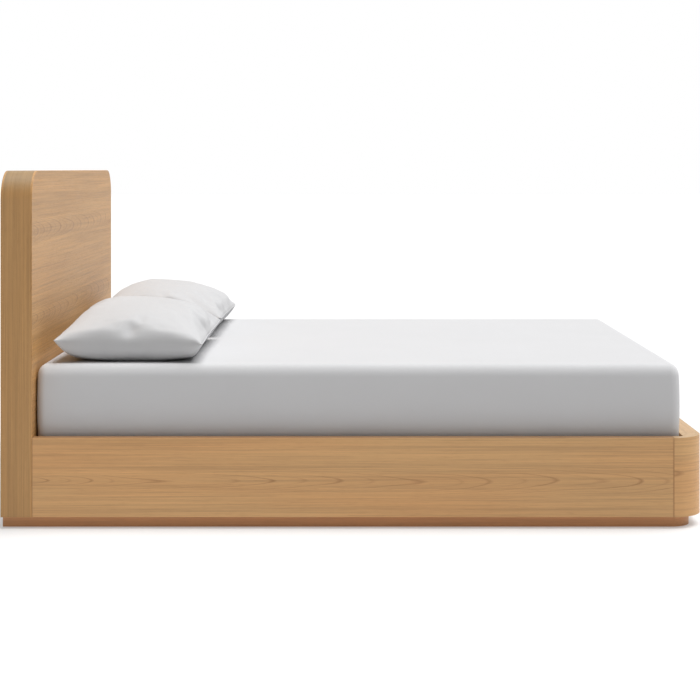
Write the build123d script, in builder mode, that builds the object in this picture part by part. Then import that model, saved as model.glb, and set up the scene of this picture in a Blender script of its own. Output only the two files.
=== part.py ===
from build123d import *
import os

# A queen platform bed: an oak-veneered frame on a recessed plinth, a hollow headboard, two drawers that
# open at the foot end, a slatted base, a mattress with its fitted sheet and two pillows.
# +X runs from the headboard to the foot, +Y is the sleeper's left when they lie on their back, +Z is up.
# The origin is on the floor under the middle of the bed. All sizes are in millimetres.

# Mattress, and the room that the frame leaves around it. A queen mattress is 2032 long on its label, and
# is held a little shorter between the headboard and the foot rail.
MATTRESS_LENGTH = 2026.0
MATTRESS_WIDTH = 1524.0
MATTRESS_HEIGHT = 261.5
HEAD_ROOM = 2.0
FOOT_ROOM = 2.0
SIDE_ROOM = 16.0
REST_GAP = 0.5

# Frame boards
HEADBOARD_DEPTH = 98.0
HEADBOARD_TOP = 1114.0
HEADBOARD_CORNER = 93.0
SKIN = 6.0
BOARD = 18.0
RAIL_THICKNESS = 30.0
FOOT_RAIL_THICKNESS = 65.0
FOOT_RAIL_HEIGHT = 60.0
RAIL_TOP = 284.0
POST_RADIUS = 100.0
POST_INNER_FILLET = 8.0
PLINTH_HEIGHT = 37.0
PLINTH_INSET = 34.0
BASE_PANEL = 12.0
EDGE_ROUND = 2.0
JOINT_BEVEL = 0.7

# Slatted base
SLAT_THICKNESS = 20.0
SLAT_WIDTH = 75.0
SLAT_COUNT = 14
SLAT_TOP = 243.0
FIRST_SLAT_X = -955.0
LAST_SLAT_X = 975.0
SLAT_END_ROOM = 2.0
LEDGE = 30.0
BEAM_WIDTH = 40.0
BEAM_HEIGHT = 60.0
LEG_WIDTH = 50.0
LEG_PLACES = (-640.0, -140.0)

# Drawers and their slides
FRONT_THICKNESS = 22.0
FRONT_GAP = 3.0
FINGER_BEVEL = 10.0
DRAWER_LENGTH = 700.0
DRAWER_HEIGHT = 150.0
DRAWER_BOARD = 15.0
DRAWER_BOTTOM = 9.0
DRAWER_BOTTOM_LIFT = 5.0
DRAWER_FLOOR_ROOM = 8.0
DIVIDER = 25.0
BAY_LENGTH = 722.5
BAY_BACK = 18.0
SLIDE_LENGTH = 650.0
SLIDE_THICKNESS = 12.7
SLIDE_MIDDLE_Z = 110.0
SLIDE_SETBACK = 4.5
SLIDE_GAUGE = 1.2
FRONT_CLEARANCE = 2.0

# Steel fittings
PLATE = 3.0
PLATE_LOW, PLATE_HIGH = 70.0, 160.0
FIXING_HEIGHTS = (92.0, 138.0)
ANGLE_PLATE_ARM = 50.0
ANGLE_PLATE_SCREW = 33.5
SIDE_PLATE_REACH = (-24.0, 23.0)
SIDE_PLATE_SCREWS = (-15.0, 12.5)
FOOT_PLATE_REACH = 28.0
FOOT_PLATE_SCREW = 14.0
FOOT_PLATE_MARGIN = 10.0
BOLT_BLOCK_MARGIN = (10.0, 20.0)
BOLT_RADIUS = 4.0
BOLT_LENGTH = 70.0
BOLT_HEAD_ACROSS_FLATS = 13.0
BOLT_HEAD = 5.3
SCREW_RADIUS = 2.5
SCREW_LENGTH = 25.0
SCREW_HEAD_RADIUS = 4.5
SCREW_HEAD = 2.0
HOLE_ROOM = 0.2

# Soft pieces
SHEET_THICKNESS = 1.0
SHEET_HEM = 120.0
MATTRESS_TOP_ROUND = 34.0
MATTRESS_CORNER_ROUND = 36.0
MATTRESS_BOTTOM_ROUND = 20.0
PILLOW_WIDTH = 750.0
PILLOW_LENGTH = 468.0
PILLOW_HEIGHT = 186.0
PILLOW_HEAD_ROOM = 54.0

# Planes and lines that the pieces share
LENGTH = HEADBOARD_DEPTH + HEAD_ROOM + MATTRESS_LENGTH + FOOT_ROOM + FOOT_RAIL_THICKNESS
WIDTH = MATTRESS_WIDTH + 2 * (SIDE_ROOM + RAIL_THICKNESS)
X_BACK = -LENGTH / 2
X_HEAD = X_BACK + HEADBOARD_DEPTH
X_FOOT = LENGTH / 2
X_FOOT_INNER = X_FOOT - FOOT_RAIL_THICKNESS
X_LET_IN = X_FOOT_INNER + PLATE + SCREW_HEAD
X_POST = X_FOOT - POST_RADIUS
X_FRONT_BACK = X_FOOT - FRONT_THICKNESS
X_BAY_END = X_FRONT_BACK - FRONT_CLEARANCE
X_BAY_START = X_BAY_END - BAY_LENGTH
Y_OUT = WIDTH / 2
Y_IN = Y_OUT - RAIL_THICKNESS
Y_POST = Y_OUT - POST_RADIUS
Y_PLINTH = Y_OUT - PLINTH_INSET
Z_BAY = PLINTH_HEIGHT + BASE_PANEL
Z_LEDGE = SLAT_TOP - SLAT_THICKNESS
Z_FOOT_RAIL = RAIL_TOP - FOOT_RAIL_HEIGHT
Z_BEAM = Z_LEDGE - BEAM_HEIGHT
BAY_WALL = Y_POST - BOARD
DRAWER_INNER = DIVIDER / 2 + SLIDE_THICKNESS
DRAWER_OUTER = BAY_WALL - SLIDE_THICKNESS
Z_DRAWER = Z_BAY + DRAWER_FLOOR_ROOM
RIM_BACK, RIM_FRONT = X_BACK + SKIN, X_HEAD - SKIN
SIDES = ((1, "left"), (-1, "right"))
LOW_CORNER = (Align.CENTER, Align.CENTER, Align.MIN)
HIGH_CORNER = (Align.CENTER, Align.CENTER, Align.MAX)

os.makedirs("parts", exist_ok=True)


def save(piece, label):
    """Label a finished piece and write it."""
    piece.part.label = label
    export_step(piece.part, f"parts/{label}.step")


def area(across, along, mode=Mode.ADD):
    """A rectangle between two pairs of limits, in the sketch that is open."""
    middle = (sum(across) / 2, sum(along) / 2)
    with Locations(middle):
        Rectangle(abs(across[1] - across[0]), abs(along[1] - along[0]), mode=mode)


def block(x, y, z, mode=Mode.ADD):
    """A square-edged board between three pairs of limits, in the part that is open."""
    with Locations((sum(x) / 2, sum(y) / 2, sum(z) / 2)):
        Box(abs(x[1] - x[0]), abs(y[1] - y[0]), abs(z[1] - z[0]), mode=mode)


def save_board(label, x, y, z):
    with BuildPart() as board:
        block(x, y, z)
    save(board, label)


def on_side(side, near, far):
    """Two distances from the middle plane as limits on one side of the bed."""
    return (side * near, side * far)


# Where bolts and screws stand: each plane is on a plate's face, with its Z axis going into the wood.

def bolt_planes(side):
    return [
        Plane(origin=(X_HEAD + PLATE, side * (Y_IN - LEDGE), z), x_dir=(0, 1, 0), z_dir=(-1, 0, 0))
        for z in FIXING_HEIGHTS
    ]


def rail_screw_planes(side):
    places = (X_HEAD + ANGLE_PLATE_SCREW, X_POST + SIDE_PLATE_SCREWS[0])
    return [
        Plane(origin=(x, side * (Y_IN - PLATE), z), x_dir=(1, 0, 0), z_dir=(0, side, 0))
        for x in places
        for z in FIXING_HEIGHTS
    ]


def post_screw_planes(side):
    into_post = X_POST + SIDE_PLATE_SCREWS[1]
    into_side = [
        Plane(origin=(into_post, side * (Y_IN - PLATE), z), x_dir=(1, 0, 0), z_dir=(0, side, 0))
        for z in FIXING_HEIGHTS
    ]
    return into_side + [foot_screw_plane(side, Y_POST + FOOT_PLATE_SCREW)]


def foot_screw_plane(side, y):
    height = RAIL_TOP - FOOT_RAIL_HEIGHT / 2
    return Plane(origin=(X_LET_IN - PLATE, side * y, height), x_dir=(0, 1, 0), z_dir=(1, 0, 0))


def foot_plate_limits(side):
    """Along and up the foot rail, where the plate across its joint with the corner post lies."""
    across = on_side(side, Y_POST - FOOT_PLATE_REACH, Y_POST + FOOT_PLATE_REACH)
    return across, (Z_FOOT_RAIL + FOOT_PLATE_MARGIN, RAIL_TOP - FOOT_PLATE_MARGIN)


def let_in_plate(side):
    """The recess that keeps that plate and its screws clear of the mattress, in the part that is open."""
    block((X_FOOT_INNER, X_LET_IN), *foot_plate_limits(side), mode=Mode.SUBTRACT)


def drill(planes, radius, depth):
    """Clearance holes that start at a plate's outer face, in the part that is open."""
    with Locations(*planes):
        Cylinder(radius + HOLE_ROOM, depth + 1, align=LOW_CORNER, mode=Mode.SUBTRACT)


def bevel_end(board, axis, which):
    """A fine bevel round a board's end, so that the joint there shows as a line."""
    chamfer(board.faces().sort_by(axis)[which].edges(), JOINT_BEVEL)


def make_headboard_skins():
    for label, x, outer_face in (("headboard_back_panel", X_BACK, 0), ("headboard_front_panel", RIM_FRONT, -1)):
        with BuildPart() as panel:
            with BuildSketch(Plane.YZ.offset(x)):
                area((-Y_OUT, Y_OUT), (PLINTH_HEIGHT, HEADBOARD_TOP))
                fillet(vertices().group_by(Axis.Y)[-1], HEADBOARD_CORNER)
            extrude(amount=SKIN)
            fillet(panel.faces().sort_by(Axis.X)[outer_face].edges(), EDGE_ROUND)
            if x == RIM_FRONT:
                drill(bolt_planes(1) + bolt_planes(-1), BOLT_RADIUS, BOLT_LENGTH)
        save(panel, label)


def make_headboard_rim():
    depth = (RIM_BACK, RIM_FRONT)
    corner_y, corner_z = Y_OUT - HEADBOARD_CORNER, HEADBOARD_TOP - HEADBOARD_CORNER
    save_board("headboard_top", depth, (-corner_y, corner_y), (HEADBOARD_TOP - BOARD, HEADBOARD_TOP))
    save_board(
        "headboard_bottom_rail", depth, (BOARD - Y_OUT, Y_OUT - BOARD), (PLINTH_HEIGHT, PLINTH_HEIGHT + BOARD)
    )
    for side, name in SIDES:
        save_board(
            f"headboard_side_{name}", depth, on_side(side, Y_OUT - BOARD, Y_OUT), (PLINTH_HEIGHT, corner_z)
        )
        quadrant = (Align.MIN if side > 0 else Align.MAX, Align.MIN)
        with BuildPart() as corner:
            with BuildSketch(Plane.YZ.offset(RIM_BACK)):
                with Locations((side * corner_y, corner_z)):
                    Circle(HEADBOARD_CORNER)
                    Circle(HEADBOARD_CORNER - BOARD, mode=Mode.SUBTRACT)
                    Rectangle(HEADBOARD_CORNER, HEADBOARD_CORNER, align=quadrant, mode=Mode.INTERSECT)
            extrude(amount=RIM_FRONT - RIM_BACK)
        save(corner, f"headboard_corner_{name}")


def make_headboard_core():
    depth = (RIM_BACK, RIM_FRONT)
    spacing = (Y_OUT - BOARD) / 2
    with BuildPart() as ribs:
        for y in (-spacing, 0, spacing):
            block(depth, (y - BOARD / 2, y + BOARD / 2), (PLINTH_HEIGHT + BOARD, HEADBOARD_TOP - BOARD))
    save(ribs, "headboard_ribs")
    upright = (PLATE_LOW - BOLT_BLOCK_MARGIN[0], PLATE_HIGH + BOLT_BLOCK_MARGIN[1])
    with BuildPart() as bolt_blocks:
        for side, _ in SIDES:
            block(depth, on_side(side, Y_IN - 2 * LEDGE, Y_OUT - BOARD), upright)
            drill(bolt_planes(side), BOLT_RADIUS, BOLT_LENGTH)
    save(bolt_blocks, "headboard_bolt_blocks")


def make_side_rails():
    for side, name in SIDES:
        with BuildPart() as rail:
            block((X_HEAD, X_POST), on_side(side, Y_IN, Y_OUT), (PLINTH_HEIGHT, RAIL_TOP))
            fillet(rail.edges().filter_by(Axis.X), EDGE_ROUND)
            bevel_end(rail, Axis.X, 0)
            bevel_end(rail, Axis.X, -1)
            drill(rail_screw_planes(side), SCREW_RADIUS, SCREW_LENGTH)
        save(rail, f"side_rail_{name}")
        save_board(
            f"slat_ledge_{name}",
            (X_HEAD, X_FOOT_INNER - POST_INNER_FILLET - PLATE),
            on_side(side, Y_IN - LEDGE, Y_IN),
            (Z_LEDGE - LEDGE, Z_LEDGE),
        )


def make_foot_corner_posts():
    """Quarter-round outside, with a side wall as thick as the side rail and an end wall as the foot rail."""
    for side, name in SIDES:
        quadrant = (Align.MIN, Align.MIN if side > 0 else Align.MAX)
        with BuildPart() as post:
            with BuildSketch(Plane.XY.offset(PLINTH_HEIGHT)):
                with Locations((X_POST, side * Y_POST)):
                    Circle(POST_RADIUS)
                    Rectangle(POST_RADIUS, POST_RADIUS, align=quadrant, mode=Mode.INTERSECT)
                area((X_POST, X_FOOT_INNER), on_side(side, Y_POST, Y_IN), mode=Mode.SUBTRACT)
                inner = vertices().sort_by_distance((X_FOOT_INNER, side * Y_IN, 0))[0]
                fillet(inner, POST_INNER_FILLET)
            extrude(amount=RAIL_TOP - PLINTH_HEIGHT)
            fillet(post.faces().sort_by(Axis.Z)[-1].edges(), EDGE_ROUND)
            let_in_plate(side)
            drill(post_screw_planes(side), SCREW_RADIUS, SCREW_LENGTH)
        save(post, f"foot_corner_post_{name}")


def make_cross_rails():
    with BuildPart() as foot_rail:
        block((X_FOOT_INNER, X_FOOT), (-Y_POST, Y_POST), (Z_FOOT_RAIL, RAIL_TOP))
        fillet(foot_rail.edges().filter_by(Axis.Y), EDGE_ROUND)
        bevel_end(foot_rail, Axis.Y, 0)
        bevel_end(foot_rail, Axis.Y, -1)
        for side, _ in SIDES:
            let_in_plate(side)
        planes = [foot_screw_plane(side, Y_POST - FOOT_PLATE_SCREW) for side, _ in SIDES]
        drill(planes, SCREW_RADIUS, SCREW_LENGTH)
    save(foot_rail, "foot_top_rail")
    ledge_inner = Y_IN - LEDGE
    save_board("head_cross_rail", (X_HEAD, X_HEAD + LEDGE), (-ledge_inner, ledge_inner), (Z_BEAM, Z_LEDGE))
    beam_sides = (-BEAM_WIDTH / 2, BEAM_WIDTH / 2)
    save_board("centre_beam", (X_HEAD + LEDGE, X_BAY_END), beam_sides, (Z_BEAM, Z_LEDGE))
    for number, x in enumerate(LEG_PLACES, 1):
        half = LEG_WIDTH / 2
        save_board(f"centre_leg_{number}", (x - half, x + half), (-half, half), (Z_BAY, Z_BEAM))


def make_plinth():
    """Boards on edge under the frame, set back from its faces, with curved corners under the foot posts."""
    height = (0, PLINTH_HEIGHT)
    radius = POST_RADIUS - PLINTH_INSET
    foot_face = X_FOOT - PLINTH_INSET
    for side, name in SIDES:
        save_board(f"plinth_side_{name}", (X_BACK, X_POST), on_side(side, Y_PLINTH - BOARD, Y_PLINTH), height)
        quadrant = (Align.MIN, Align.MIN if side > 0 else Align.MAX)
        with BuildPart() as corner:
            with BuildSketch():
                with Locations((X_POST, side * Y_POST)):
                    Circle(radius)
                    Circle(radius - BOARD, mode=Mode.SUBTRACT)
                    Rectangle(radius, radius, align=quadrant, mode=Mode.INTERSECT)
            extrude(amount=PLINTH_HEIGHT)
        save(corner, f"plinth_corner_{name}")
    save_board("plinth_foot", (foot_face - BOARD, foot_face), (-Y_POST, Y_POST), height)
    inner = Y_PLINTH - BOARD
    save_board("plinth_head", (X_BACK, X_BACK + BOARD), (-inner, inner), height)
    save_board("plinth_centre", (X_BACK + BOARD, foot_face - BOARD), (-BOARD / 2, BOARD / 2), height)


def make_base_panel():
    with BuildPart() as panel:
        with BuildSketch(Plane.XY.offset(PLINTH_HEIGHT)):
            area((X_HEAD, X_FOOT_INNER), (-Y_IN, Y_IN))
            fillet(vertices().group_by(Axis.X)[-1], POST_INNER_FILLET + PLATE)
            area((X_FOOT_INNER, X_BAY_END), (-Y_POST, Y_POST))
        extrude(amount=BASE_PANEL)
    save(panel, "base_panel")


def make_drawer_bay():
    along = (X_BAY_START, X_BAY_END)
    save_board("bay_divider", along, (-DIVIDER / 2, DIVIDER / 2), (Z_BAY, Z_BEAM))
    for side, name in SIDES:
        save_board(f"bay_side_{name}", along, on_side(side, BAY_WALL, Y_POST), (Z_BAY, Z_LEDGE))
    with BuildPart() as back:
        block((X_BAY_START - BAY_BACK, X_BAY_START), (-Y_POST, Y_POST), (Z_BAY, Z_LEDGE))
        beam_notch = (-BEAM_WIDTH / 2 - HOLE_ROOM, BEAM_WIDTH / 2 + HOLE_ROOM)
        block((X_BAY_START - BAY_BACK, X_BAY_START), beam_notch, (Z_BEAM, Z_LEDGE), mode=Mode.SUBTRACT)
    save(back, "bay_back")


def make_slats():
    pitch = (LAST_SLAT_X - FIRST_SLAT_X) / (SLAT_COUNT - 1)
    reach = Y_IN - SLAT_END_ROOM
    with BuildPart() as slats:
        for number in range(SLAT_COUNT):
            x = FIRST_SLAT_X + number * pitch
            block((x - SLAT_WIDTH / 2, x + SLAT_WIDTH / 2), (-reach, reach), (Z_LEDGE, SLAT_TOP))
    save(slats, "slats")


def make_drawer(side, name):
    """Five boards. The front covers the bay, and its lower back edge is bevelled for the fingers."""
    back_x = X_FRONT_BACK - DRAWER_LENGTH
    height = (Z_DRAWER, Z_DRAWER + DRAWER_HEIGHT)
    with BuildPart() as front:
        across = on_side(side, FRONT_GAP / 2, Y_POST - FRONT_GAP)
        block((X_FRONT_BACK, X_FOOT), across, (PLINTH_HEIGHT, Z_FOOT_RAIL - FRONT_GAP))
        low_back = front.edges().filter_by(Axis.Y).group_by(Axis.Z)[0].sort_by(Axis.X)[0]
        chamfer(low_back, FINGER_BEVEL)
        fillet(front.faces().sort_by(Axis.X)[-1].edges(), EDGE_ROUND)
    save(front, f"drawer_front_{name}")
    inside = (DRAWER_INNER + DRAWER_BOARD, DRAWER_OUTER - DRAWER_BOARD)
    save_board(
        f"drawer_inner_side_{name}", (back_x, X_FRONT_BACK), on_side(side, DRAWER_INNER, inside[0]), height
    )
    save_board(
        f"drawer_outer_side_{name}", (back_x, X_FRONT_BACK), on_side(side, inside[1], DRAWER_OUTER), height
    )
    save_board(f"drawer_back_{name}", (back_x, back_x + DRAWER_BOARD), on_side(side, *inside), height)
    floor = Z_DRAWER + DRAWER_BOTTOM_LIFT
    save_board(
        f"drawer_bottom_{name}",
        (back_x + DRAWER_BOARD, X_FRONT_BACK),
        on_side(side, *inside),
        (floor, floor + DRAWER_BOTTOM),
    )


def slide_section(wall, toward, web, tip, half_height):
    """A steel channel seen from its end: its web, and the tips of its flanges, by distance from the wall."""
    web_sides = sorted((wall + toward * web, wall + toward * (web + SLIDE_GAUGE)))
    flange = sorted((wall + toward * web, wall + toward * tip))
    area(web_sides, (SLIDE_MIDDLE_Z - half_height, SLIDE_MIDDLE_Z + half_height))
    for up in (1, -1):
        edge = SLIDE_MIDDLE_Z + up * half_height
        area(flange, (edge - up * SLIDE_GAUGE, edge))


def make_slides(side, name):
    """Both telescopic slides of one drawer, each of three nested channels."""
    walls = ((side * BAY_WALL, -side), (side * DIVIDER / 2, side))
    inner_web = SLIDE_THICKNESS - SLIDE_GAUGE
    members = (
        ("slide_fixed", 0.0, 9.5, 22.5),
        ("slide_middle", 2.2, 10.7, 19.6),
        ("slide_drawer", inner_web, 4.6, 15.8),
    )
    start = X_BAY_END - SLIDE_SETBACK - SLIDE_LENGTH
    for label, web, tip, half_height in members:
        with BuildPart() as member:
            with BuildSketch(Plane.YZ.offset(start)):
                for wall, toward in walls:
                    slide_section(wall, toward, web, tip, half_height)
            extrude(amount=SLIDE_LENGTH)
        save(member, f"{label}_{name}")


def make_fittings():
    """Angle plates at the headboard, flat plates across the foot joints, and their bolts and screws."""
    screws, bolts = [], []
    for side, _ in SIDES:
        bolts += bolt_planes(side)
        screws += rail_screw_planes(side) + post_screw_planes(side)
        screws.append(foot_screw_plane(side, Y_POST - FOOT_PLATE_SCREW))
    upright = (PLATE_LOW, PLATE_HIGH)
    with BuildPart() as angle_plates:
        for side, _ in SIDES:
            block((X_HEAD, X_HEAD + PLATE), on_side(side, Y_IN - ANGLE_PLATE_ARM, Y_IN), upright)
            block((X_HEAD + PLATE, X_HEAD + ANGLE_PLATE_ARM), on_side(side, Y_IN - PLATE, Y_IN), upright)
        drill(bolts, BOLT_RADIUS, PLATE)
        drill(screws, SCREW_RADIUS, PLATE)
    save(angle_plates, "head_angle_plates")
    along_side = (X_POST + SIDE_PLATE_REACH[0], X_POST + SIDE_PLATE_REACH[1])
    with BuildPart() as flat_plates:
        for side, _ in SIDES:
            block(along_side, on_side(side, Y_IN - PLATE, Y_IN), upright)
            block((X_LET_IN - PLATE, X_LET_IN), *foot_plate_limits(side))
        drill(screws, SCREW_RADIUS, PLATE)
    save(flat_plates, "foot_joint_plates")
    with BuildPart() as plate_screws:
        with Locations(*screws):
            Cylinder(SCREW_RADIUS, SCREW_LENGTH, align=LOW_CORNER)
            Cylinder(SCREW_HEAD_RADIUS, SCREW_HEAD, align=HIGH_CORNER)
    save(plate_screws, "plate_screws")
    with BuildPart() as rail_bolts:
        with Locations(*bolts):
            Cylinder(BOLT_RADIUS, BOLT_LENGTH, align=LOW_CORNER)
        for plane in bolts:
            with BuildSketch(plane):
                RegularPolygon(BOLT_HEAD_ACROSS_FLATS / 2, 6, major_radius=False)
            extrude(amount=-BOLT_HEAD)
    save(rail_bolts, "rail_bolts")


def soft_block(shrink):
    """The mattress's outer shape, drawn in by a skin's thickness all round, in the part that is open."""
    low = SLAT_TOP + REST_GAP + shrink
    height = MATTRESS_HEIGHT - 2 * shrink
    middle_x = X_HEAD + HEAD_ROOM + MATTRESS_LENGTH / 2
    with BuildPart(mode=Mode.PRIVATE) as shape:
        with Locations((middle_x, 0, low)):
            Box(MATTRESS_LENGTH - 2 * shrink, MATTRESS_WIDTH - 2 * shrink, height, align=LOW_CORNER)
        fillet(shape.edges().filter_by(Axis.Z), MATTRESS_CORNER_ROUND - shrink)
        fillet(shape.faces().sort_by(Axis.Z)[-1].edges(), MATTRESS_TOP_ROUND - shrink)
        fillet(shape.faces().sort_by(Axis.Z)[0].edges(), MATTRESS_BOTTOM_ROUND - shrink)
    return shape.part


def make_mattress():
    core = soft_block(SHEET_THICKNESS)
    skin = soft_block(0.0)
    with BuildPart() as mattress:
        add(core)
    save(mattress, "mattress")
    with BuildPart() as fitted_sheet:
        add(skin)
        add(core, mode=Mode.SUBTRACT)
        half_length, half_width = MATTRESS_LENGTH / 2 - SHEET_HEM, MATTRESS_WIDTH / 2 - SHEET_HEM
        middle_x = X_HEAD + HEAD_ROOM + MATTRESS_LENGTH / 2
        low = SLAT_TOP + REST_GAP
        block(
            (middle_x - half_length, middle_x + half_length),
            (-half_width, half_width),
            (low, low + SHEET_THICKNESS),
            mode=Mode.SUBTRACT,
        )
    save(fitted_sheet, "fitted_sheet")


def make_pillow(side, name):
    """A plump pillow: rounded outlines, widest at its seam a little below the middle, lofted together."""
    middle_x = X_HEAD + PILLOW_HEAD_ROOM + PILLOW_LENGTH / 2
    middle_y = side * MATTRESS_WIDTH / 4
    low = SLAT_TOP + REST_GAP + MATTRESS_HEIGHT + REST_GAP
    sections = ((0.0, 0.62), (0.07, 0.78), (0.38, 1.0), (0.72, 0.86), (0.93, 0.56), (1.0, 0.3))
    with BuildPart() as pillow:
        for rise, share in sections:
            with BuildSketch(Plane.XY.offset(low + rise * PILLOW_HEIGHT)):
                with Locations((middle_x, middle_y)):
                    length, width = PILLOW_LENGTH * share, PILLOW_WIDTH * (1 - 0.8 * (1 - share))
                    RectangleRounded(length, width, length * 0.2)
        loft()
    save(pillow, f"pillow_{name}")


make_headboard_skins()
make_headboard_rim()
make_headboard_core()
make_side_rails()
make_foot_corner_posts()
make_cross_rails()
make_plinth()
make_base_panel()
make_drawer_bay()
make_slats()
make_fittings()
make_mattress()
for drawer_side, drawer_name in SIDES:
    make_drawer(drawer_side, drawer_name)
    make_slides(drawer_side, drawer_name)
    make_pillow(drawer_side, drawer_name)
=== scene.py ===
import math

import bpy
import numpy as np
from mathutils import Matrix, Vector


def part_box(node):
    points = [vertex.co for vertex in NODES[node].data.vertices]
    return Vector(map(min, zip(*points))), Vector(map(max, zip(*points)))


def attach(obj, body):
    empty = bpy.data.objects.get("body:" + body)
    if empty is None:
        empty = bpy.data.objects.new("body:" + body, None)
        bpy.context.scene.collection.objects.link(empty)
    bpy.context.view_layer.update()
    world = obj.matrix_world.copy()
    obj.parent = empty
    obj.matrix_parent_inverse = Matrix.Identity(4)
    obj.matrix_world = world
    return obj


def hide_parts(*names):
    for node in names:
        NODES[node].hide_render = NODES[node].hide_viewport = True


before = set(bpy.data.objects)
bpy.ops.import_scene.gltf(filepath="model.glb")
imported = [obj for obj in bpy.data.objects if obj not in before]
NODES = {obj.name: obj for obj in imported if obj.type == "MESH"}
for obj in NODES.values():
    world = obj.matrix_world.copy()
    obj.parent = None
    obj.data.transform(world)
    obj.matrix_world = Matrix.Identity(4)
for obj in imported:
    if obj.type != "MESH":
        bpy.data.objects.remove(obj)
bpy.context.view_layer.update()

SCENE = bpy.context.scene
SIDES = ((1, "left"), (-1, "right"))

# ---------------------------------------------------------------------------------------------- camera

# A level camera at the side of the bed, a little above the headboard. Its frame is shifted down to the bed.
EYE = Vector((-0.010, -5.678, 1.120))
LENS_MM = 80.6
SENSOR_MM = 36
SHIFT_DOWN = -0.259
FARTHEST_SEEN = 200


def make_camera():
    data = bpy.data.cameras.new("camera")
    data.lens = LENS_MM
    data.sensor_width = SENSOR_MM
    data.shift_y = SHIFT_DOWN
    data.clip_end = FARTHEST_SEEN
    camera = bpy.data.objects.new("camera", data)
    camera.location = EYE
    camera.rotation_euler = (math.radians(90), 0, 0)
    SCENE.collection.objects.link(camera)
    SCENE.camera = camera
    SCENE.view_settings.view_transform = "Standard"


# ----------------------------------------------------------------------------------------- studio stage

SUN_STRENGTH = 4.40
SUN_SPREAD = math.radians(50)
SUN_DIRECTION = Vector((-0.30, 0.0, -1))
SKY_SEEN = 1.0
SKY_LIGHT = 0.14
FLOOR_TONE = 0.50
FLOOR_GLOW = 0.33
FLOOR_ROUGHNESS = 0.9
FLOOR_GLOSS = 0.1
FLOOR_HALF = 60.0
WHITE = (1, 1, 1, 1)


def make_sun():
    """One broad, soft lamp overhead, a little from the foot end."""
    data = bpy.data.lights.new("overhead", "SUN")
    data.energy = SUN_STRENGTH
    data.angle = SUN_SPREAD
    lamp = bpy.data.objects.new("overhead", data)
    lamp.rotation_euler = SUN_DIRECTION.to_track_quat("-Z", "Y").to_euler()
    SCENE.collection.objects.link(lamp)


def make_floor():
    mesh = bpy.data.meshes.new("floor")
    h = FLOOR_HALF
    mesh.from_pydata([(-h, -h, 0), (h, -h, 0), (h, h, 0), (-h, h, 0)], [], [(0, 1, 2, 3)])
    floor = bpy.data.objects.new("floor", mesh)
    SCENE.collection.objects.link(floor)
    material = bpy.data.materials.new("floor_paint")
    material.use_nodes = True
    shader = material.node_tree.nodes["Principled BSDF"]
    shader.inputs["Base Color"].default_value = (FLOOR_TONE, FLOOR_TONE, FLOOR_TONE, 1)
    shader.inputs["Emission Color"].default_value = WHITE
    shader.inputs["Emission Strength"].default_value = FLOOR_GLOW
    shader.inputs["Roughness"].default_value = FLOOR_ROUGHNESS
    shader.inputs["Specular IOR Level"].default_value = FLOOR_GLOSS
    mesh.materials.append(material)


def make_sky():
    """A white surround that lights matt surfaces only faintly, so that the sun alone sets their shade."""
    world = bpy.data.worlds.new("studio")
    world.use_nodes = True
    SCENE.world = world
    nodes, links = world.node_tree.nodes, world.node_tree.links
    nodes.clear()
    path = nodes.new("ShaderNodeLightPath")
    mix = nodes.new("ShaderNodeMixShader")
    out = nodes.new("ShaderNodeOutputWorld")
    links.new(path.outputs["Is Diffuse Ray"], mix.inputs[0])
    for socket, strength in ((mix.inputs[1], SKY_SEEN), (mix.inputs[2], SKY_LIGHT)):
        sky = nodes.new("ShaderNodeBackground")
        sky.inputs["Color"].default_value = WHITE
        sky.inputs["Strength"].default_value = strength
        links.new(sky.outputs[0], socket)
    links.new(mix.outputs[0], out.inputs[0])


# ------------------------------------------------------------------------------------ material building

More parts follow.
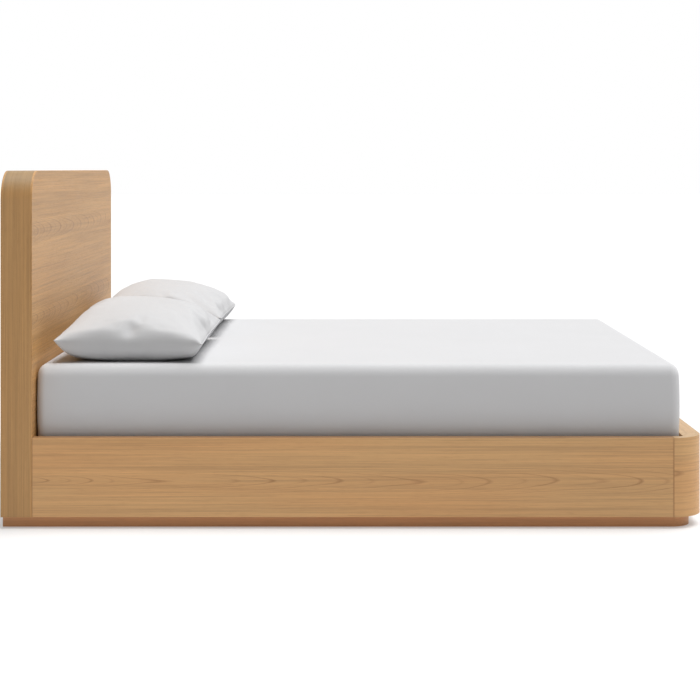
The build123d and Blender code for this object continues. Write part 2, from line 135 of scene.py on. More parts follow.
class Tree:
    """A material's node tree with short helpers, so that each material reads as its own formula."""

    def __init__(self, name):
        self.material = bpy.data.materials.new(name)
        self.material.use_nodes = True
        self.nodes = self.material.node_tree.nodes
        self.links = self.material.node_tree.links
        self.shader = self.nodes["Principled BSDF"]

    def plug(self, value, socket):
        if isinstance(value, bpy.types.NodeSocket):
            self.links.new(value, socket)
        else:
            socket.default_value = value

    def math(self, operation, a, b=0.0, c=0.0, clamp=False):
        node = self.nodes.new("ShaderNodeMath")
        node.operation = operation
        node.use_clamp = clamp
        for value, socket in zip((a, b, c), node.inputs):
            self.plug(value, socket)
        return node.outputs[0]

    def hypotenuse(self, a, b):
        squares = (self.math("MULTIPLY", side, side) for side in (a, b))
        return self.math("SQRT", self.math("ADD", *squares))

    def spread(self, noise, reach, middle=0.0):
        """Noise from 0 to 1, spread out to reach on either side of a middle value."""
        return self.math("MULTIPLY_ADD", noise, 2 * reach, middle - reach)

    def coordinates(self, kind):
        """X, Y and Z in the bed's own frame: a point's place in metres, or its surface's direction."""
        source = self.nodes.new("ShaderNodeTexCoord")
        split = self.nodes.new("ShaderNodeSeparateXYZ")
        self.links.new(source.outputs[kind], split.inputs[0])
        return dict(zip("XYZ", split.outputs))

    def blend(self, factor, a, b):
        node = self.nodes.new("ShaderNodeMix")
        for value, socket in zip((factor, a, b), (node.inputs[0], node.inputs[2], node.inputs[3])):
            self.plug(value, socket)
        return node.outputs[0]

    def vector(self, x, y, z):
        node = self.nodes.new("ShaderNodeCombineXYZ")
        for value, socket in zip((x, y, z), node.inputs):
            self.plug(value, socket)
        return node.outputs[0]

    def scaled(self, place, scale, shift=(0, 0, 0)):
        node = self.nodes.new("ShaderNodeMapping")
        self.links.new(place, node.inputs["Vector"])
        node.inputs["Scale"].default_value = scale
        node.inputs["Location"].default_value = shift
        return node.outputs[0]

    def noise(self, place, scale, shift=(0, 0, 0), detail=2.0, roughness=0.5):
        node = self.nodes.new("ShaderNodeTexNoise")
        self.links.new(self.scaled(place, scale, shift), node.inputs["Vector"])
        node.inputs["Scale"].default_value = 1.0
        node.inputs["Detail"].default_value = detail
        node.inputs["Roughness"].default_value = roughness
        return node.outputs["Fac"]

    def cells(self, place, scale, shift=(0, 0, 0)):
        node = self.nodes.new("ShaderNodeTexVoronoi")
        self.links.new(self.scaled(place, scale, shift), node.inputs["Vector"])
        node.inputs["Scale"].default_value = 1.0
        return node.outputs["Distance"]

    def ramp(self, value, stops):
        """Tones or colours between (position, tone or colour) stops."""
        node = self.nodes.new("ShaderNodeValToRGB")
        while len(node.color_ramp.elements) < len(stops):
            node.color_ramp.elements.new(1.0)
        for element, (position, colour) in zip(node.color_ramp.elements, stops):
            element.position = position
            element.color = (*colour, 1) if isinstance(colour, tuple) else (colour, colour, colour, 1)
        self.links.new(value, node.inputs[0])
        return node.outputs[0]

    def mix(self, factor, a, b, blend="MIX"):
        node = self.nodes.new("ShaderNodeMix")
        node.data_type = "RGBA"
        node.blend_type = blend
        self.plug(factor, node.inputs[0])
        for value, socket in ((a, node.inputs[6]), (b, node.inputs[7])):
            self.plug((*value, 1) if isinstance(value, tuple) else value, socket)
        return node.outputs[2]

    def bump(self, height, distance, strength=1.0, under=None):
        node = self.nodes.new("ShaderNodeBump")
        node.inputs["Distance"].default_value = distance
        node.inputs["Strength"].default_value = strength
        self.links.new(height, node.inputs["Height"])
        if under is not None:
            self.links.new(under, node.inputs["Normal"])
        return node.outputs[0]

    def finish(self, colour, roughness, normal=None):
        self.plug(colour, self.shader.inputs["Base Color"])
        self.plug(roughness, self.shader.inputs["Roughness"])
        if normal is not None:
            self.links.new(normal, self.shader.inputs["Normal"])
        return self.material


# ------------------------------------------------------------------------------------------------ woods

# Each wood's tone where a ring is early and where it is late, and the tint of its warmer patches.
OAK = {"early": (0.620, 0.362, 0.158), "late": (0.330, 0.160, 0.062), "warm": (1.04, 0.94, 0.87)}
HEADBOARD_OAK = {"early": (0.595, 0.330, 0.124), "late": (0.320, 0.148, 0.050), "warm": (1.01, 0.96, 0.88)}
# The plinth's oak is darker and redder than OAK: painted shade for the plinth, set back under the rails.
PLINTH_OAK_PAINTED_SHADE = {"early": (0.560, 0.285, 0.125), "late": (0.370, 0.175, 0.072), "warm": (1.04, 0.95, 0.90)}
BIRCH = {"early": (0.66, 0.47, 0.28), "late": (0.52, 0.35, 0.20), "warm": (1.04, 0.97, 0.92)}
PINE = {"early": (0.66, 0.45, 0.23), "late": (0.45, 0.26, 0.11), "warm": (1.05, 0.96, 0.88)}
# Painted shadow: the side rails' tops are darkened where the mattress shades them.
PAINTED_RAIL_TOP_SHADOW = (0.45, 0.42, 0.40)
# Painted sheen: the other oak tops are cooler and darker, standing in for the lacquer's sheen under light
# from above.
PAINTED_TOP_SHEEN = (0.68, 0.78, 0.93)
POST_BEND = 0.100
PINE_LEAF = 0.1485

# How a log's rings are cut by a flat board. The heart is the line along which they come nearest its face.
RING_FLATNESS = 0.62
HEART_WANDER = 0.020
HEART_RIPPLE = 0.004
DEPTH_WAVE = 0.015
RISE_START = 1.1
LEAF_STEP = 3.7
KNOT_PUSH = 0.004
KNOT_SHARPNESS = 900.0
GAP_WIDTH = 0.0022
RING_PROFILE = ((0.0, 0.05), (0.34, 0.10), (0.40, 0.45), (0.47, 0.08),
                (0.84, 0.15), (0.91, 1.0), (0.98, 0.05))
HEART_PROFILE = ((0.0, 1.0), (0.022, 0.75), (0.050, 0.26), (0.5, 0.20))
PORE_PROFILE = ((0.60, 0.0), (0.72, 1.0))
KNOT_PROFILE = ((0.0, 1.0), (0.008, 0.8), (0.022, 0.0))
FINE_TONES = ((0.34, 0.84), (0.5, 1.0), (0.66, 1.08))
STREAK_TONES = ((0.28, 0.86), (0.5, 1.0), (0.72, 1.09))
BAND_TONES = ((0.30, 0.92), (0.5, 1.0), (0.70, 1.07))
FIBRE_TONES = ((0.3, 0.93), (0.7, 1.06))
WARM_PROFILE = ((0.38, 0.0), (0.66, 1.0))
OAK_GLOSS = 0.42
WOOD_RELIEF = 0.00025


def round_bend(t, along, inward, bend):
    """Measures along and into a veneer bent a quarter turn: straight on, then round, then straight."""
    start, centre, radius = bend
    outward = math.copysign(1.0, radius)
    past = t.math("SUBTRACT", along, start)
    out = t.math("MULTIPLY", t.math("SUBTRACT", inward, centre), outward)
    past_bend, out_bend = t.math("MAXIMUM", past, 0.0), t.math("MAXIMUM", out, 0.0)
    turn = t.math("ARCTAN2", past_bend, out_bend)
    straight = t.math("SUBTRACT", t.math("MINIMUM", past, 0.0), t.math("MINIMUM", out, 0.0))
    along = t.math("ADD", t.math("MULTIPLY_ADD", turn, abs(radius), start), straight)
    return along, t.math("MULTIPLY_ADD", t.hypotenuse(past_bend, out_bend), outward, centre)


def grain_place(t, axes, edge_normal, bend):
    """How far along the grain, across it and into the board a point lies, in metres."""
    place = t.coordinates("Object")
    along, across, inward = (place[a] for a in axes)
    if bend:
        along, inward = round_bend(t, along, inward, bend)
    if edge_normal:
        facing = t.math("ABSOLUTE", t.coordinates("Normal")[edge_normal])
        on_edge = t.math("GREATER_THAN", facing, 0.7)
        along, across, inward = (t.blend(on_edge, p, q) for p, q in
                                 ((along, across), (across, inward), (inward, along)))
    return along, across, inward


def heart_distance(t, along, across, grain, heart, leaf, seed):
    """How far across the board a point lies from its veneer leaf's wandering heart.

    Also gives a place along the grain that differs from leaf to leaf, for what varies only along it."""
    offset = t.math("SUBTRACT", across, heart)
    leaf_seed = seed
    if leaf:
        number = t.math("FLOOR", t.math("DIVIDE", t.math("ADD", offset, leaf / 2), leaf))
        offset = t.math("SUBTRACT", offset, t.math("MULTIPLY", number, leaf))
        leaf_seed = t.math("MULTIPLY_ADD", number, LEAF_STEP, seed)
    line_place = t.vector(along, leaf_seed, 0.0)
    wander = t.spread(t.noise(line_place, (1.3, 1, 1), (3, 0, 0), 1.0), HEART_WANDER)
    ripple = t.spread(t.noise(grain, (7, 30, 30), (2, seed, 4), 4.0, 0.65), HEART_RIPPLE)
    return t.math("ADD", t.math("ADD", offset, wander), ripple), line_place


def late_wood(t, along, grain, distance, line_place, knot, depth, ring, rise, seed):
    """How strongly a ring's dark edge shows: most along the heart, unevenly, and bent aside by knots."""
    sink = t.spread(t.noise(line_place, (1.1, 1, 1), (9, 0, 0), 2.0, 0.4), DEPTH_WAVE, depth)
    sink = t.math("MULTIPLY_ADD", t.math("ADD", along, RISE_START), rise, sink)
    radius = t.hypotenuse(t.math("MULTIPLY", distance, RING_FLATNESS), sink)
    near_knot = t.math("EXPONENT", t.math("MULTIPLY", t.math("MULTIPLY", knot, knot), -KNOT_SHARPNESS))
    radius = t.math("ADD", radius, t.math("MULTIPLY", near_knot, KNOT_PUSH))
    line = t.ramp(t.math("FRACT", t.math("DIVIDE", radius, ring)), RING_PROFILE)
    near_heart = t.ramp(t.math("ABSOLUTE", distance), HEART_PROFILE)
    patch = t.math("MULTIPLY_ADD", t.noise(grain, (1.2, 14, 9), (seed, 7, 2), 2.0), 1.5, 0.05)
    return t.math("MULTIPLY", line, t.math("MULTIPLY", near_heart, patch))


def grain_colour(t, grain, line, fibre, tones, contrast, seed):
    """The wood's colour before its pores: rings, then fine lines, streaks, bands, fibres and warm patches."""
    soft = 0.8 * min(contrast, 1.2)
    fine = t.noise(grain, (2.2, 230, 190), (5, seed, 3), 3.0, 0.6)
    streak = t.noise(grain, (1.0, 95, 70), (3, seed, 1), 4.0, 0.62)
    band = t.noise(grain, (0.35, 19, 15), (1, seed, 6), 2.0, 0.5)
    hue = t.ramp(t.noise(grain, (0.8, 7, 5), (seed + 2, 1, 9), 2.0), WARM_PROFILE)
    colour = t.mix(t.math("MULTIPLY", line, 0.80 * contrast, clamp=True), tones["early"], tones["late"])
    for strength, noise, profile in ((soft, streak, STREAK_TONES), (soft, band, BAND_TONES),
                                     (soft, fine, FINE_TONES), (0.7, fibre, FIBRE_TONES)):
        colour = t.mix(strength, colour, t.ramp(noise, profile), "MULTIPLY")
    warm = t.mix(1.0, colour, tones["warm"], "MULTIPLY")
    return t.mix(t.math("MULTIPLY", hue, 0.7), colour, warm)


def wood(name, axes, tones, heart=0.0, depth=0.016, ring=0.007, seed=0.0, contrast=1.0, shade=1.0,
         leaf=0.0, rise=0.018, joints=(), edge_normal="", bend=None, painted_top_light=None):
    """Flat-sawn veneer: pointed figure along its heart, straight grain beside it, fibres, pores and knots.

    axes names the frame axes along the grain, across it and into the board. heart is where the figure runs,
    across the board, depth is how deep the rings lie there, and rise is how fast they climb along the board.
    leaf is the width of the veneer leaves that repeat the figure. joints are the places along the grain where
    the board meets another, as fine dark lines. Faces that look along edge_normal are board edges, whose
    grain runs the other way. bend is (start, centre, radius) for a veneer bent round a corner: the grain
    follows it, from the first axis towards the last, and radius is negative where the outside looks down the
    last axis. painted_top_light tints faces that look up with painted light: the shade and sheen that light
    gives to tops."""
    t = Tree(name)
    along, across, inward = grain_place(t, axes, edge_normal, bend)
    grain = t.vector(along, across, inward)
    distance, line_place = heart_distance(t, along, across, grain, heart, leaf, seed)
    knot = t.cells(grain, (1.3, 7.0, 2.0), (seed * 2.1, 1.3, seed))
    line = late_wood(t, along, grain, distance, line_place, knot, depth, ring, rise, seed)
    fibre = t.noise(grain, (6, 520, 520), (seed, seed * 1.7, seed * 0.6), 3.0, 0.6)
    pores = t.ramp(t.noise(grain, (24, 1300, 1300), (1, 2, seed), 1.0), PORE_PROFILE)

    colour = grain_colour(t, grain, line, fibre, tones, contrast, seed)
    colour = t.mix(t.math("MULTIPLY", pores, 0.28 * contrast), colour, tones["late"])
    colour = t.mix(t.math("MULTIPLY", t.ramp(knot, KNOT_PROFILE), 0.6 * contrast), colour, tones["late"])
    for joint in joints:
        gap = t.ramp(t.math("ABSOLUTE", t.math("SUBTRACT", along, joint)), ((0.0, 1.0), (GAP_WIDTH, 0.0)))
        colour = t.mix(t.math("MULTIPLY", gap, 0.65), colour, tones["late"])
    # Painted light: faces that look up, and their rounded edges a little, take a tint standing in for shade
    # and sheen on tops.
    if painted_top_light:
        painted_top_tint = t.ramp(t.coordinates("Normal")["Z"], ((0.0, 1.0), (0.25, 0.90), (0.70, painted_top_light)))
        colour = t.mix(1.0, colour, painted_top_tint, "MULTIPLY")
    if shade != 1.0:
        colour = t.mix(1.0, colour, (shade, shade, shade), "MULTIPLY")

    rough = t.math("MULTIPLY_ADD", pores, 0.12, t.math("MULTIPLY_ADD", fibre, 0.14, 0.40))
    relief = t.math("SUBTRACT", t.math("MULTIPLY", fibre, 0.35), t.math("MULTIPLY", pores, 0.8))
    relief = t.math("SUBTRACT", relief, t.math("MULTIPLY", line, 0.3))
    t.shader.inputs["Specular IOR Level"].default_value = OAK_GLOSS
    return t.finish(colour, rough, t.bump(relief, WOOD_RELIEF, 0.8))


def assign(material, *names):
    for name in names:
        obj = NODES[name]
        obj.data.materials.clear()
        obj.data.materials.append(material)


def finish_headboard():
    low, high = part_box("headboard_corner_right")
    bend_start, bend_centre, bend_radius = low.z, high.y, high.z - low.z
    face = dict(axes="YZX", tones=HEADBOARD_OAK, ring=0.0045, leaf=0.27, rise=0.03, edge_normal="Y",
                shade=0.84, contrast=1.4)
    assign(wood("oak_headboard_face", heart=0.92, seed=2.3, **face), "headboard_front_panel")
    assign(wood("oak_headboard_back", heart=0.88, seed=8.1, **face), "headboard_back_panel")
    # The headboard's edges and top get the painted top sheen where they look up.
    edge = dict(tones=HEADBOARD_OAK, heart=-1.13, ring=0.006, seed=4.4, contrast=1.0, shade=0.78, rise=0.0,
                painted_top_light=PAINTED_TOP_SHEEN)
    assign(wood("oak_headboard_edge", "ZXY", **edge), "headboard_side_left", "headboard_side_right")
    assign(wood("oak_headboard_top", "YXZ", **edge), "headboard_top")
    for side, name in SIDES:
        bend = (bend_start, -side * bend_centre, side * bend_radius)
        assign(wood(f"oak_headboard_bend_{name}", "ZXY", bend=bend, **edge), f"headboard_corner_{name}")


def finish_frame():
    """The rails, the posts they meet at fine dark joints, and the drawer fronts."""
    rail_start, rail_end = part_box("side_rail_right")[0].x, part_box("side_rail_right")[1].x
    post_low, post_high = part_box("foot_corner_post_right")
    bend_start, bend_centre = post_high.x - POST_BEND, post_low.y + POST_BEND
    # The rails' tops carry a painted shadow from the mattress above them.
    rail = dict(axes="XZY", tones=OAK, heart=0.150, ring=0.0042, joints=(rail_start, rail_end),
                painted_top_light=PAINTED_RAIL_TOP_SHADOW)
    assign(wood("oak_rail_right", depth=0.010, seed=1.0, **rail), "side_rail_right")
    assign(wood("oak_rail_left", seed=6.2, **rail), "side_rail_left")
    # The posts' and the foot rail's tops get the painted top sheen.
    post = dict(axes="XZY", tones=OAK, ring=0.0045, joints=(rail_end,), painted_top_light=PAINTED_TOP_SHEEN)
    for (side, name), heart, seed in zip(SIDES, (0.14, 0.17), (9.3, 3.7)):
        bend = (bend_start, -side * bend_centre, side * POST_BEND)
        veneer = wood(f"oak_post_{name}", heart=heart, seed=seed, bend=bend, **post)
        assign(veneer, f"foot_corner_post_{name}")
    assign(wood("oak_foot_rail", "YXZ", OAK, heart=1.05, seed=5.5, painted_top_light=PAINTED_TOP_SHEEN), "foot_top_rail")
    for (_, name), heart, seed in zip(SIDES, (0.13, 0.11), (7.1, 7.9)):
        front = wood(f"oak_drawer_{name}", "YZX", OAK, heart=heart, seed=seed, ring=0.0045)
        assign(front, f"drawer_front_{name}")


def finish_plinth():
    # The plinth's boards are darkened with painted shade.
    along_x = wood("oak_plinth_side", "XZY", PLINTH_OAK_PAINTED_SHADE, heart=0.3, seed=2.9, contrast=0.6)
    along_y = wood("oak_plinth_end", "YZX", PLINTH_OAK_PAINTED_SHADE, heart=0.3, seed=3.3, contrast=0.6)
    assign(along_x, "plinth_side_left", "plinth_side_right", "plinth_corner_left", "plinth_corner_right",
           "plinth_centre")
    assign(along_y, "plinth_foot", "plinth_head")


def finish_inside():
    """Birch drawer boxes and bay, and the pine slats and what bears them."""
    birch_x = wood("birch_along", "XZY", BIRCH, heart=0.16, ring=0.012, seed=1.9, contrast=0.5)
    birch_y = wood("birch_across", "YZX", BIRCH, heart=0.16, ring=0.012, seed=4.9, contrast=0.5)
    birch_flat = wood("birch_panel", "XYZ", BIRCH, heart=0.36, ring=0.016, seed=5.1, contrast=0.5, leaf=0.4)
    for _, name in SIDES:
        assign(birch_x, f"drawer_inner_side_{name}", f"drawer_outer_side_{name}", f"bay_side_{name}")
        assign(birch_y, f"drawer_back_{name}")
        assign(birch_flat, f"drawer_bottom_{name}")
    assign(birch_x, "bay_divider", "headboard_bolt_blocks")
    assign(birch_y, "bay_back", "headboard_bottom_rail")
    assign(birch_flat, "base_panel")
    pine_x = wood("pine_along", "XZY", PINE, heart=0.20, seed=3.1, contrast=0.8)
    pine_y = wood("pine_across", "YXZ", PINE, heart=0.0, ring=0.010, seed=6.6, contrast=0.8, leaf=PINE_LEAF)
    pine_z = wood("pine_upright", "ZXY", PINE, heart=0.0, depth=0.2, seed=2.2, contrast=0.8)
    assign(pine_x, "slat_ledge_left", "slat_ledge_right", "centre_beam")
    assign(pine_y, "slats", "head_cross_rail")
    assign(pine_z, "centre_leg_1", "centre_leg_2", "headboard_ribs")


# ------------------------------------------------------------------------------------- steel and cloth

ZINC_DIM, ZINC_BRIGHT = (0.50, 0.51, 0.53), (0.62, 0.63, 0.64)
ZINC_RELIEF = 0.00005
THREAD_PITCH = 0.0011
TICKING_PITCH = 0.0024
THREAD_TONE = 0.965
THREAD_RELIEF = 0.00012
CREASE_RELIEF = 0.0015
COTTON_SHEEN = 0.12
COTTON_SHEEN_ROUGHNESS = 0.45
COTTON_GLOSS = 0.25


def zinc(name, axes):
    """Zinc-plated steel sheet, drawn along the first axis, with the faint cloudiness of the plating."""
    t = Tree(name)
    place = t.coordinates("Object")
    place = t.vector(*(place[a] for a in axes))
    drawn = t.noise(place, (8, 900, 900))
    cloud = t.noise(place, (25, 60, 60), (4, 4, 4))
    colour = t.ramp(cloud, ((0.3, ZINC_DIM), (0.7, ZINC_BRIGHT)))
    rough = t.math("MULTIPLY_ADD", drawn, 0.22, 0.24)
    t.shader.inputs["Metallic"].default_value = 1.0
    return t.finish(colour, rough, t.bump(drawn, ZINC_RELIEF, 0.5))


def weave_height(t, x, y, z, slub, thread):
    """The height of plain-woven threads, from -1 to 1 on level cloth, shifted a little by their slubs."""
    pitch = 2 * math.pi / thread
    shift = t.math("MULTIPLY", slub, 2.0)
    across, along = (t.math("SINE", t.math("MULTIPLY_ADD", line, pitch, shift)) for line in (x, y))
    upright = t.math("SINE", t.math("MULTIPLY", z, pitch))
    return t.math("ADD", t.math("MULTIPLY", across, along), t.math("MULTIPLY", upright, 0.5))


def cotton(name, bright, dim, thread=THREAD_PITCH):
    """Plain-woven cotton: two sets of threads, slubs, and the faint unevenness of washed cloth."""
    t = Tree(name)
    x, y, z = t.coordinates("Object").values()
    place = t.vector(x, y, z)
    slub = t.noise(place, (90, 90, 90))
    weave = weave_height(t, x, y, z, slub, thread)
    patch = t.noise(place, (5, 5, 7), (3, 1, 2), detail=3.0)
    colour = t.ramp(patch, ((0.3, dim), (0.7, bright)))
    thread_tone = t.ramp(t.math("MULTIPLY_ADD", weave, 0.25, 0.5), ((0.0, THREAD_TONE), (1.0, 1.0)))
    colour = t.mix(1.0, colour, thread_tone, "MULTIPLY")
    rough = t.math("MULTIPLY_ADD", slub, 0.1, 0.82)
    t.shader.inputs["Sheen Weight"].default_value = COTTON_SHEEN
    t.shader.inputs["Sheen Roughness"].default_value = COTTON_SHEEN_ROUGHNESS
    t.shader.inputs["Specular IOR Level"].default_value = COTTON_GLOSS
    creases = t.bump(patch, CREASE_RELIEF, 0.35)
    return t.finish(colour, rough, t.bump(weave, THREAD_RELIEF, 0.35, under=creases))


def finish_steel():
    drawn = zinc("zinc_drawn", "XYZ")
    plate = zinc("zinc_plate", "ZXY")
    for _, name in SIDES:
        assign(drawn, f"slide_fixed_{name}", f"slide_middle_{name}", f"slide_drawer_{name}")
    assign(plate, "head_angle_plates", "foot_joint_plates", "plate_screws", "rail_bolts")


# --------------------------------------------------------------------------------------- soft geometry

def new_object(name, vertices, faces, material):
    mesh = bpy.data.meshes.new(name)
    mesh.from_pydata([tuple(v) for v in vertices], [], faces)
    mesh.update()
    obj = bpy.data.objects.new(name, mesh)
    SCENE.collection.objects.link(obj)
    for polygon in mesh.polygons:
        polygon.use_smooth = True
    mesh.materials.append(material)
    return obj


def stops(half, edge, fine, coarse):
    """Symmetric stops from -half to half: fine within edge of each end, coarse between."""
    edge_count = max(2, round(edge / fine))
    middle_count = max(2, round(2 * (half - edge) / coarse))
    ends = np.linspace(-half, -half + edge, edge_count + 1)
    middle = np.linspace(-half + edge, half - edge, middle_count + 1)
    return np.concatenate([ends[:-1], middle, -ends[::-1][1:]])


def box_surface(xs, ys, zs, keep):
    """A grid on a box's six faces, with shared vertices. keep says which squares stay, by their middle."""
    index, points, faces = {}, [], []

    def vertex(*p):
        key = tuple(round(float(c), 6) for c in p)
        if key not in index:
            index[key] = len(points)
            points.append(key)
        return index[key]

    def side(us, vs, corner, flip):
        for i in range(len(us) - 1):
            for j in range(len(vs) - 1):
                quad = [corner(us[i], vs[j]), corner(us[i + 1], vs[j]),
                        corner(us[i + 1], vs[j + 1]), corner(us[i], vs[j + 1])]
                if keep(np.mean(quad, axis=0)):
                    ids = [vertex(*q) for q in quad]
                    faces.append(ids[::-1] if flip else ids)

    side(xs, ys, lambda u, v: (u, v, zs[-1]), False)
    side(xs, ys, lambda u, v: (u, v, zs[0]), True)
    side(xs, zs, lambda u, v: (u, ys[0], v), False)
    side(xs, zs, lambda u, v: (u, ys[-1], v), True)
    side(ys, zs, lambda u, v: (xs[-1], u, v), False)
    side(ys, zs, lambda u, v: (xs[0], u, v), True)
    return np.array(points), faces


def rounded(points, half, radii_top, radii_bottom):
    """Moves points of a box's surface on to the same box with elliptically rounded edges."""
    result = np.empty_like(points)
    for k, p in enumerate(points):
        radii = radii_top if p[2] >= 0 else radii_bottom
        q = np.clip(p, radii - half, half - radii)
        n = (p - q) / radii
        result[k] = q + radii * n / np.linalg.norm(n)
    return result


MATTRESS_CORNER = 0.027
MATTRESS_TOP_ROUND = 0.038
MATTRESS_BOTTOM_ROUND = 0.026
MATTRESS_SPACING = 0.030
EDGE_SPACING = 0.006
SIDE_BULGE = 0.004
SIDE_DRAW = 0.001
SIDE_ZONE = 0.12
SHEET_OVER = 0.002
SHEET_SPACING = 0.024
SHEET_THICKNESS = 0.0007
SHEET_HEM = 0.120


def mattress_form(name, inside, spacing, keep, material):
    """The mattress's outer shape: firm, slightly crowned sides, drawn in towards the bottom.

    inside is how far the shape lies inside the sheet. Returns the object and half its size."""
    low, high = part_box("fitted_sheet")
    middle, half = np.array((low + high) / 2), np.array((high - low) / 2)
    half = half - np.array((SIDE_BULGE, SIDE_BULGE, 0.0)) - inside
    edge = MATTRESS_TOP_ROUND * 1.2
    grids = [stops(h, edge, EDGE_SPACING, step) for h, step in zip(half, (spacing, spacing, spacing * 0.7))]
    points, faces = box_surface(*grids, keep=lambda p: keep(p, half))
    top = np.array((MATTRESS_CORNER, MATTRESS_CORNER, MATTRESS_TOP_ROUND))
    bottom = np.array((MATTRESS_CORNER, MATTRESS_CORNER, MATTRESS_BOTTOM_ROUND))
    shaped = rounded(points, half, top, bottom)
    height = np.clip(shaped[:, 2] / half[2], -1, 1)
    swell = SIDE_BULGE * (1 - height ** 2) - SIDE_DRAW * np.clip(-height, 0, 1) ** 2
    for axis in (0, 1):
        near = np.clip((np.abs(shaped[:, axis]) - half[axis] + SIDE_ZONE) / SIDE_ZONE, 0, 1) ** 2
        shaped[:, axis] += np.sign(shaped[:, axis]) * swell * near
    return new_object(name, shaped + middle, faces, material), half


def make_mattress(ticking):
    obj, _ = mattress_form("mattress_body", SHEET_OVER, MATTRESS_SPACING, lambda p, half: True, ticking)
    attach(obj, "mattress")
    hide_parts("mattress")


def make_sheet(cloth):
    """The fitted sheet: stretched over the top and sides, with its elasticated hem drawn under."""
    def keep(p, half):
        under = p[2] < -half[2] + 1e-6
        return not (under and abs(p[0]) < half[0] - SHEET_HEM and abs(p[1]) < half[1] - SHEET_HEM)

    obj, half = mattress_form("fitted_sheet_cloth", 0.0, SHEET_SPACING, keep, cloth)
    solid = obj.modifiers.new("thickness", "SOLIDIFY")
    solid.thickness = SHEET_THICKNESS
    solid.offset = -1
    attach(obj, "mattress")
    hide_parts("fitted_sheet")


PILLOW_CUT = (0.484, 0.757)
PILLOW_CELL = 0.012
PILLOW_BLANK_LIFT = 0.020
PILLOW_BOW = 0.012
PILLOW_START = 0.075
PILLOW_VOLUME = 0.038
PILLOW_TIP = 0.074
PILLOW_FRAMES = 38
UNDERSIDE_SLANT = {-1: 1.20, 1: 1.02}
UNDERSIDE_FULLNESS = 1.7
CROWN_SLOPE = 1.3
END_TUCK = 0.048
PILLOW_UNEVENNESS = 0.006
END_ZONE = 0.09
CORNER_ZONE = 0.16
END_ROUNDS = 12
SEAM_STRAIGHTNESS = 0.85
SEAM_ZONE = 0.65
GATHER_HEIGHT = 0.0016
GATHER_ZONE = 0.16
TUCK_ZONE = 0.4
WELT_SIDES = 8
WELT_OUT, WELT_UP = 0.0024, 0.0011
TABLE_HALF = 3.0


def unevenness(u, v, seed):
    """The height of a slow unevenness in a pillow's filling, which fades out at its edges."""
    wave = math.sin(3.1 * u + seed) * math.cos(2.3 * v + 1.7 * seed)
    return PILLOW_UNEVENNESS * wave * (1 - u ** 4) * (1 - v ** 4)


def pillow_blank(name, middle, seed, material):
    """Two cloth panels joined all round, almost flat, as they are before filling.

    Returns the object and, for each vertex, its place across and along the pillow from -1 to 1, and its
    panel: 1 for the upper one, -1 for the lower one and 0 on the seam."""
    nx, ny = (round(c / PILLOW_CELL) for c in PILLOW_CUT)
    points, across, along, panel = [], [], [], []
    upper, lower = {}, {}

    def vertex(u, v, x, y, z, side):
        points.append((middle[0] + x, middle[1] + y, middle[2] + z))
        across.append(u)
        along.append(v)
        panel.append(side)
        return len(points) - 1

    for i in range(nx + 1):
        for j in range(ny + 1):
            u, v = i / nx * 2 - 1, j / ny * 2 - 1
            x, y = u * (PILLOW_CUT[0] / 2 + PILLOW_BOW * (1 - v * v)), v * PILLOW_CUT[1] / 2
            lift = PILLOW_BLANK_LIFT * (1 - u ** 4) * math.sqrt(1 - v ** 8)
            uneven = unevenness(u, v, seed)
            on_seam = i in (0, nx) or j in (0, ny)
            upper[i, j] = vertex(u, v, x, y, lift + uneven, 0 if on_seam else 1)
            lower[i, j] = upper[i, j] if on_seam else vertex(u, v, x, y, uneven / 2 - lift, -1)
    faces = []
    for i in range(nx):
        for j in range(ny):
            ring = [(i, j), (i + 1, j), (i + 1, j + 1), (i, j + 1)]
            faces.append([upper[k] for k in ring])
            faces.append([lower[k] for k in reversed(ring)])
    obj = new_object(name, points, faces, material)
    return obj, np.array(across), np.array(along), np.array(panel)


def points_of(mesh):
    flat = np.empty(len(mesh.vertices) * 3)
    mesh.vertices.foreach_get("co", flat)
    return flat.reshape(-1, 3)


def inflate(obj, table_z):
    """Fills a closed cloth blank to its volume over a table, and keeps the settled mesh."""
    h = TABLE_HALF
    table = new_object("table", [(-h, -h, table_z), (h, -h, table_z), (h, h, table_z), (-h, h, table_z)],
                       [(0, 1, 2, 3)], obj.data.materials[0])
    table.modifiers.new("collision", "COLLISION")
    table.collision.thickness_outer = 0.002
    cloth = obj.modifiers.new("cloth", "CLOTH")
    s = cloth.settings
    s.quality = 7
    s.mass = 0.03
    s.tension_stiffness = s.compression_stiffness = 30
    s.shear_stiffness = 12
    s.bending_stiffness = 0.3
    s.tension_damping = s.compression_damping = 5
    s.air_damping = 1
    s.use_pressure = True
    s.uniform_pressure_force = 1.0
    s.use_pressure_volume = True
    s.target_volume = PILLOW_VOLUME
    s.effector_weights.gravity = 0.25
    cloth.collision_settings.distance_min = 0.003
    cloth.collision_settings.use_self_collision = False
    cloth.point_cache.frame_start = 1
    cloth.point_cache.frame_end = PILLOW_FRAMES
    for frame_number in range(1, PILLOW_FRAMES + 1):
        SCENE.frame_set(frame_number)
    settled = bpy.data.meshes.new_from_object(obj.evaluated_get(bpy.context.evaluated_depsgraph_get()))
    obj.modifiers.clear()
    obj.data = settled
    bpy.data.objects.remove(table)
    SCENE.frame_set(1)


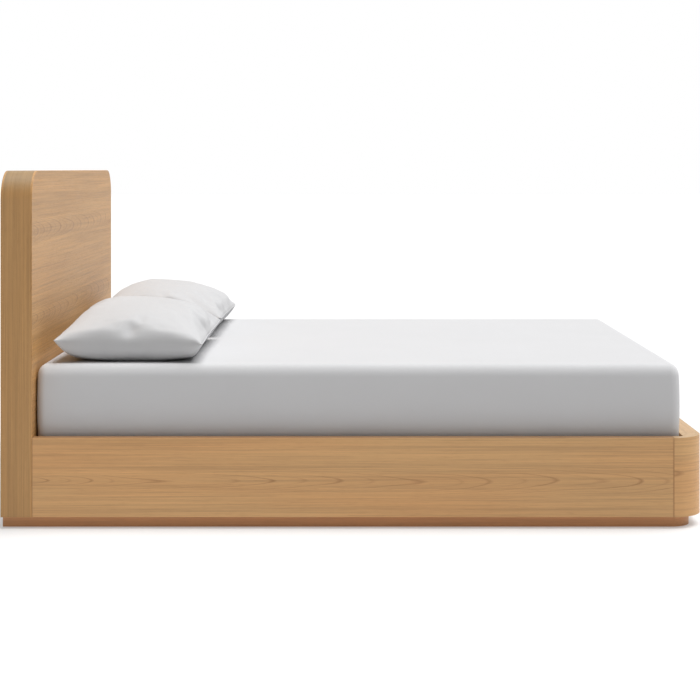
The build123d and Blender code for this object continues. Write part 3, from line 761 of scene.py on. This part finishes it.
def soften_ends(points, mesh, across, along):
    """Smooths the fold at the pillow's two short ends, which have no seam, but not its corners."""
    edges = np.array([edge.vertices for edge in mesh.edges])
    near_end = np.clip((np.abs(along) - 1 + END_ZONE) / END_ZONE, 0, 1)
    off_corner = np.clip((1 - np.abs(across)) / CORNER_ZONE, 0, 1)
    weight = np.minimum(1, 1.6 * near_end * off_corner)
    count = np.bincount(edges.ravel(), minlength=len(points))[:, None]
    for _ in range(END_ROUNDS):
        total = np.zeros_like(points)
        np.add.at(total, edges[:, 0], points[edges[:, 1]])
        np.add.at(total, edges[:, 1], points[edges[:, 0]])
        points = points + (total / count - points) * (0.5 * weight)[:, None]
    return points


def long_seam(across, along, panel, side):
    """The vertices of the seam on one side, in order along the pillow."""
    seam = np.flatnonzero((panel == 0) & (across == side))
    return seam[np.argsort(along[seam])]


def straighten(points, seam, along, near):
    """Draws a seam out towards the line between its corners, and the cloth near it with it."""
    first, last = points[seam[0]], points[seam[-1]]
    share = (along[seam] + 1) / 2
    pull = (first + (last - first) * share[:, None] - points[seam]) * SEAM_STRAIGHTNESS
    for k in (0, 2):
        points[:, k] += np.interp(along, along[seam], pull[:, k]) * near


def gather(points, along, panel, outward, seed):
    """Puckers the cloth beside a seam, unevenly and not at its ends."""
    beside = np.clip((outward - 1 + GATHER_ZONE) / GATHER_ZONE, 0, 1)
    beside = beside * (1 - beside) * 4
    ripple = np.sin(along * 58 + 2.2 * np.sin(along * 9 + seed)) + 0.7 * np.sin(along * 37 + seed * 2.3)
    points[:, 2] += GATHER_HEIGHT * ripple * beside * panel * (1 - along ** 8)


def slant_under(points, seam, along, panel, side, middle):
    """Draws the lower panel in tight, on a slant from a seam to where the pillow rests."""
    reach = np.interp(along, along[seam], side * (points[seam, 0] - middle))
    height = np.interp(along, along[seam], points[seam, 2])
    allowed = reach - UNDERSIDE_SLANT[side] * np.clip(height - points[:, 2], 0, None)
    too_far = np.clip(side * (points[:, 0] - middle) - allowed, 0, None) * (panel == -1)
    points[:, 0] -= side * too_far


def shape_seams(points, across, along, panel, seed):
    """Draws both long seams straight, gathers the cloth beside them and slants it in below them."""
    middle = points[:, 0].mean()
    for side in (-1, 1):
        outward = across * side
        seam = long_seam(across, along, panel, side)
        straighten(points, seam, along, np.clip((outward - 1 + SEAM_ZONE) / SEAM_ZONE, 0, 1) ** 2)
        gather(points, along, panel, outward, seed)
        slant_under(points, seam, along, panel, side, middle)


def raise_crown(points, table_z, crown):
    """Stretches heights over the table so that the corners and the crown stand where they should.

    Below the corners the pillow is pressed fuller on to the table."""
    height = points[:, 2] - table_z
    old_tip, old_crown = height[0], height.max()
    above = np.clip((height - old_tip) / (old_crown - old_tip), 0, 1) ** CROWN_SLOPE
    below = np.clip(height / old_tip, 0, 1) ** UNDERSIDE_FULLNESS
    points[:, 2] = table_z + PILLOW_TIP * below + (crown - PILLOW_TIP) * above


def tuck_end(points, table_z, along, outer):
    """Draws the underside in, smoothly, at the short end that doesn't meet the other pillow."""
    near_end = np.clip((along * outer - 1 + TUCK_ZONE) / TUCK_ZONE, 0, 1)
    below = np.clip(1 - (points[:, 2] - table_z) / PILLOW_TIP, 0, 1)
    points[:, 1] -= outer * END_TUCK * near_end * below ** 2


def unit(vectors):
    return vectors / np.linalg.norm(vectors, axis=1)[:, None]


def sewn_edge(name, line, material):
    """The stitched edge of a pillowcase: a narrow flattened welt along a line of points."""
    along = unit(np.gradient(line, axis=0))
    out = unit(np.cross(along, (0, 0, 1)))
    up = np.cross(out, along)
    number = np.arange(len(line))
    taper = np.clip(np.minimum(number, number[::-1]) / 2, 0.25, 1)
    turns = [2 * math.pi * side / WELT_SIDES for side in range(WELT_SIDES)]
    points = [line[k] + (out[k] * math.cos(turn) * WELT_OUT + up[k] * math.sin(turn) * WELT_UP) * taper[k]
              for k in number for turn in turns]
    faces = [list(range(WELT_SIDES))[::-1], [len(points) - WELT_SIDES + side for side in range(WELT_SIDES)]]
    for k in range(len(line) - 1):
        for side in range(WELT_SIDES):
            a, b = k * WELT_SIDES + side, k * WELT_SIDES + (side + 1) % WELT_SIDES
            faces.append([a, b, b + WELT_SIDES, a + WELT_SIDES])
    return new_object(name, points, faces, material)


def make_pillow(name, seed, percale):
    low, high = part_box(f"pillow_{name}")
    table_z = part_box("fitted_sheet")[1].z
    middle = ((low.x + high.x) / 2, (low.y + high.y) / 2, table_z + PILLOW_START)
    obj, across, along, panel = pillow_blank(f"pillow_{name}_cover", middle, seed, percale)
    inflate(obj, table_z)
    points = soften_ends(points_of(obj.data), obj.data, across, along)
    shape_seams(points, across, along, panel, seed)
    raise_crown(points, table_z, high.z - table_z)
    tuck_end(points, table_z, along, math.copysign(1, middle[1]))
    obj.data.vertices.foreach_set("co", points.ravel())
    obj.data.update()
    smooth = obj.modifiers.new("smooth", "SUBSURF")
    smooth.levels = smooth.render_levels = 1
    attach(obj, f"pillow_{name}")
    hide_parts(f"pillow_{name}")

    surface = points_of(obj.evaluated_get(bpy.context.evaluated_depsgraph_get()).to_mesh())
    for side, place in ((-1, "head"), (1, "foot")):
        line = surface[long_seam(across, along, panel, side)]
        edge = sewn_edge(f"pillow_{name}_{place}_seam", line, percale)
        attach(edge, f"pillow_{name}")


make_camera()
make_floor()
make_sky()
make_sun()
finish_headboard()
finish_frame()
finish_plinth()
finish_inside()
finish_steel()
make_mattress(cotton("mattress_ticking_weave", (0.55, 0.55, 0.54), (0.52, 0.52, 0.51), TICKING_PITCH))
make_sheet(cotton("sheet_percale", (0.592, 0.592, 0.600), (0.582, 0.582, 0.590)))
pillow_percale = cotton("pillow_percale", (0.530, 0.530, 0.536), (0.518, 0.518, 0.524))
for pillow_name, pillow_seed in (("left", 6.1), ("right", 2.3)):
    make_pillow(pillow_name, pillow_seed, pillow_percale)
